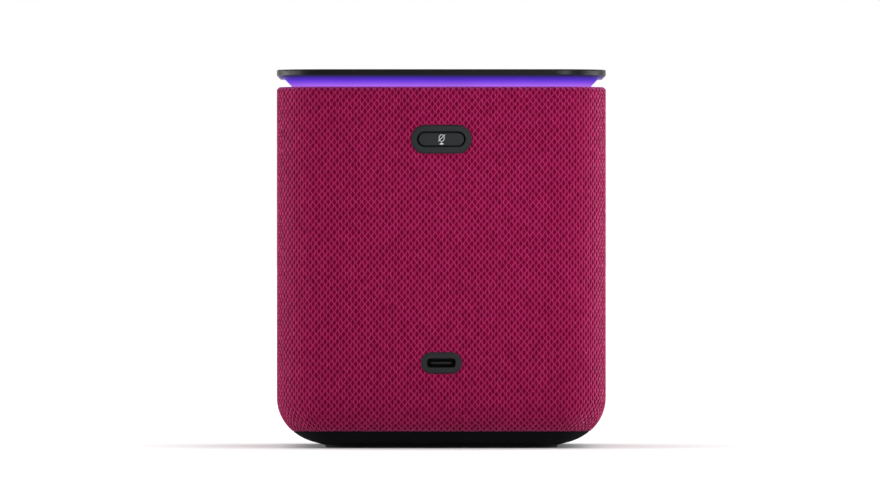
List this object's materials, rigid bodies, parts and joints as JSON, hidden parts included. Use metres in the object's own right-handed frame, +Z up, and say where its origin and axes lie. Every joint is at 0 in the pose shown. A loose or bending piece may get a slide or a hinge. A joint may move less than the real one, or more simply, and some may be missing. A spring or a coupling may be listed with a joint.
{
  "type": "smart speaker",
  "caption": "Fabric-covered rounded-square smart speaker with a floating touch panel over a light gap, a sprung mute button and a USB-C inlet on the back.",
  "frame": {"origin": "on the floor under the middle of the body, at the underside of the foot", "axes": "+Z up through the top panel, front faces -Y, the back with the mute button and USB-C inlet faces +Y"},
  "size_m": [0.11, 0.1101, 0.1264],
  "materials": {
    "contact_gold": "gold flash",
    "base_black": "satin moulded",
    "capacitor_metal": "can",
    "screw_steel": "zinc plated",
    "connector_white": "nylon",
    "inner_black": "moulded",
    "raspberry_knit": "diamond-mesh knit",
    "foot_rubber": "matte",
    "frame_black": "moulded",
    "spreader_metal": "stamped",
    "circuit_board": "solder mask",
    "led_lens": "lens",
    "foam_rubber": "foam",
    "light_diffuser": "translucent diffuser, lit purple",
    "shield_metal": "tin plated",
    "bezel_grey": "matte moulded",
    "button_grey": "matte moulded with a pale pictogram",
    "silicone": "silicone",
    "switch_plastic": "moulded",
    "lead_black": "pvc",
    "chip_black": "moulded",
    "radiator_metal": "painted weight",
    "surround_rubber": "butyl",
    "ribbon_film": "polyester film",
    "pad_grey": "thermal silicone",
    "panel_black": "fine matte, soft-touch",
    "dome_metal": "anodised foil",
    "ferrite": "sintered ferrite",
    "port_metal": "blackened steel",
    "port_plastic": "moulded",
    "basket_metal": "powder coat",
    "cone_paper": "coated paper",
    "lead_red": "pvc",
    "plated_steel": "zinc plated",
    "spider_cloth": "impregnated cloth",
    "copper_winding": "enamelled copper"
  },
  "bodies": {
    "housing": {"antennas": "contact_gold", "base": "base_black", "capacitors": "capacitor_metal", "case_screws": "screw_steel", "connectors": "connector_white", "driver_screws": "screw_steel", "enclosure_lid": "inner_black", "enclosure_tub": "inner_black", "fabric_sleeve": "raspberry_knit", "foot": "foot_rubber", "grille_frame": "frame_black", "heat_spreader": "spreader_metal", "led_board": "circuit_board", "leds": "led_lens", "lid_gasket": "foam_rubber", "light_guide": "light_diffuser", "main_board": "circuit_board", "mic_gaskets": "foam_rubber", "microphones": "shield_metal", "mute_bezel": "bezel_grey", "mute_board": "circuit_board", "mute_dome": "silicone", "mute_switch": "switch_plastic", "power_board": "circuit_board", "power_lead": "lead_black", "processor": "chip_black", "radiator_frame_left": "inner_black", "radiator_frame_right": "inner_black", "radiator_surround_left": "surround_rubber", "radiator_surround_right": "surround_rubber", "ribbon_cables": "ribbon_film", "small_screws": "screw_steel", "thermal_pad": "pad_grey", "top_frame": "inner_black", "top_panel": "panel_black", "touch_board": "circuit_board", "tweeter_housings": "inner_black", "tweeter_magnets": "ferrite", "tweeter_surround_left": "surround_rubber", "tweeter_surround_right": "surround_rubber", "usb_bezel": "bezel_grey", "usb_contacts": "contact_gold", "usb_shell": "port_metal", "usb_tongue": "port_plastic", "wifi_shield": "shield_metal", "woofer_basket": "basket_metal", "woofer_leads": "lead_red", "woofer_magnet": "ferrite", "woofer_pole": "plated_steel", "woofer_spider": "spider_cloth", "woofer_surround": "surround_rubber", "woofer_top_plate": "plated_steel"},
    "mute_button": {"mute_button": "button_grey"},
    "woofer_cone": {"woofer_cone": "cone_paper", "woofer_dust_cap": "cone_paper", "woofer_voice_coil": "copper_winding"},
    "radiator_left": {"radiator_plate_left": "radiator_metal"},
    "radiator_right": {"radiator_plate_right": "radiator_metal"},
    "tweeter_left": {"tweeter_dome_left": "dome_metal"},
    "tweeter_right": {"tweeter_dome_right": "dome_metal"}
  },
  "joints": [
    {"name": "mute_press", "type": "slide", "parent": "housing", "child": "mute_button", "axis": [0, -1, 0], "range_m": [0, 0.0006], "stiffness_N_per_m": 1500, "deforming": ["mute_dome"]},
    {"name": "woofer_stroke", "type": "slide", "parent": "housing", "child": "woofer_cone", "axis": [0, -1, 0], "range_m": [-0.0025, 0.0025], "stiffness_N_per_m": 1500, "deforming": ["woofer_surround", "woofer_spider"]},
    {"name": "radiator_left_stroke", "type": "slide", "parent": "housing", "child": "radiator_left", "axis": [-1, 0, 0], "range_m": [-0.003, 0.003], "stiffness_N_per_m": 1500, "deforming": ["radiator_surround_left"]},
    {"name": "radiator_right_stroke", "type": "slide", "parent": "housing", "child": "radiator_right", "axis": [1, 0, 0], "range_m": [-0.003, 0.003], "stiffness_N_per_m": 1500, "deforming": ["radiator_surround_right"]},
    {"name": "tweeter_left_stroke", "type": "slide", "parent": "housing", "child": "tweeter_left", "axis": [0, -1, 0], "range_m": [-0.0003, 0.0003], "stiffness_N_per_m": 800, "deforming": ["tweeter_surround_left"]},
    {"name": "tweeter_right_stroke", "type": "slide", "parent": "housing", "child": "tweeter_right", "axis": [0, -1, 0], "range_m": [-0.0003, 0.0003], "stiffness_N_per_m": 800, "deforming": ["tweeter_surround_right"]}
  ]
}
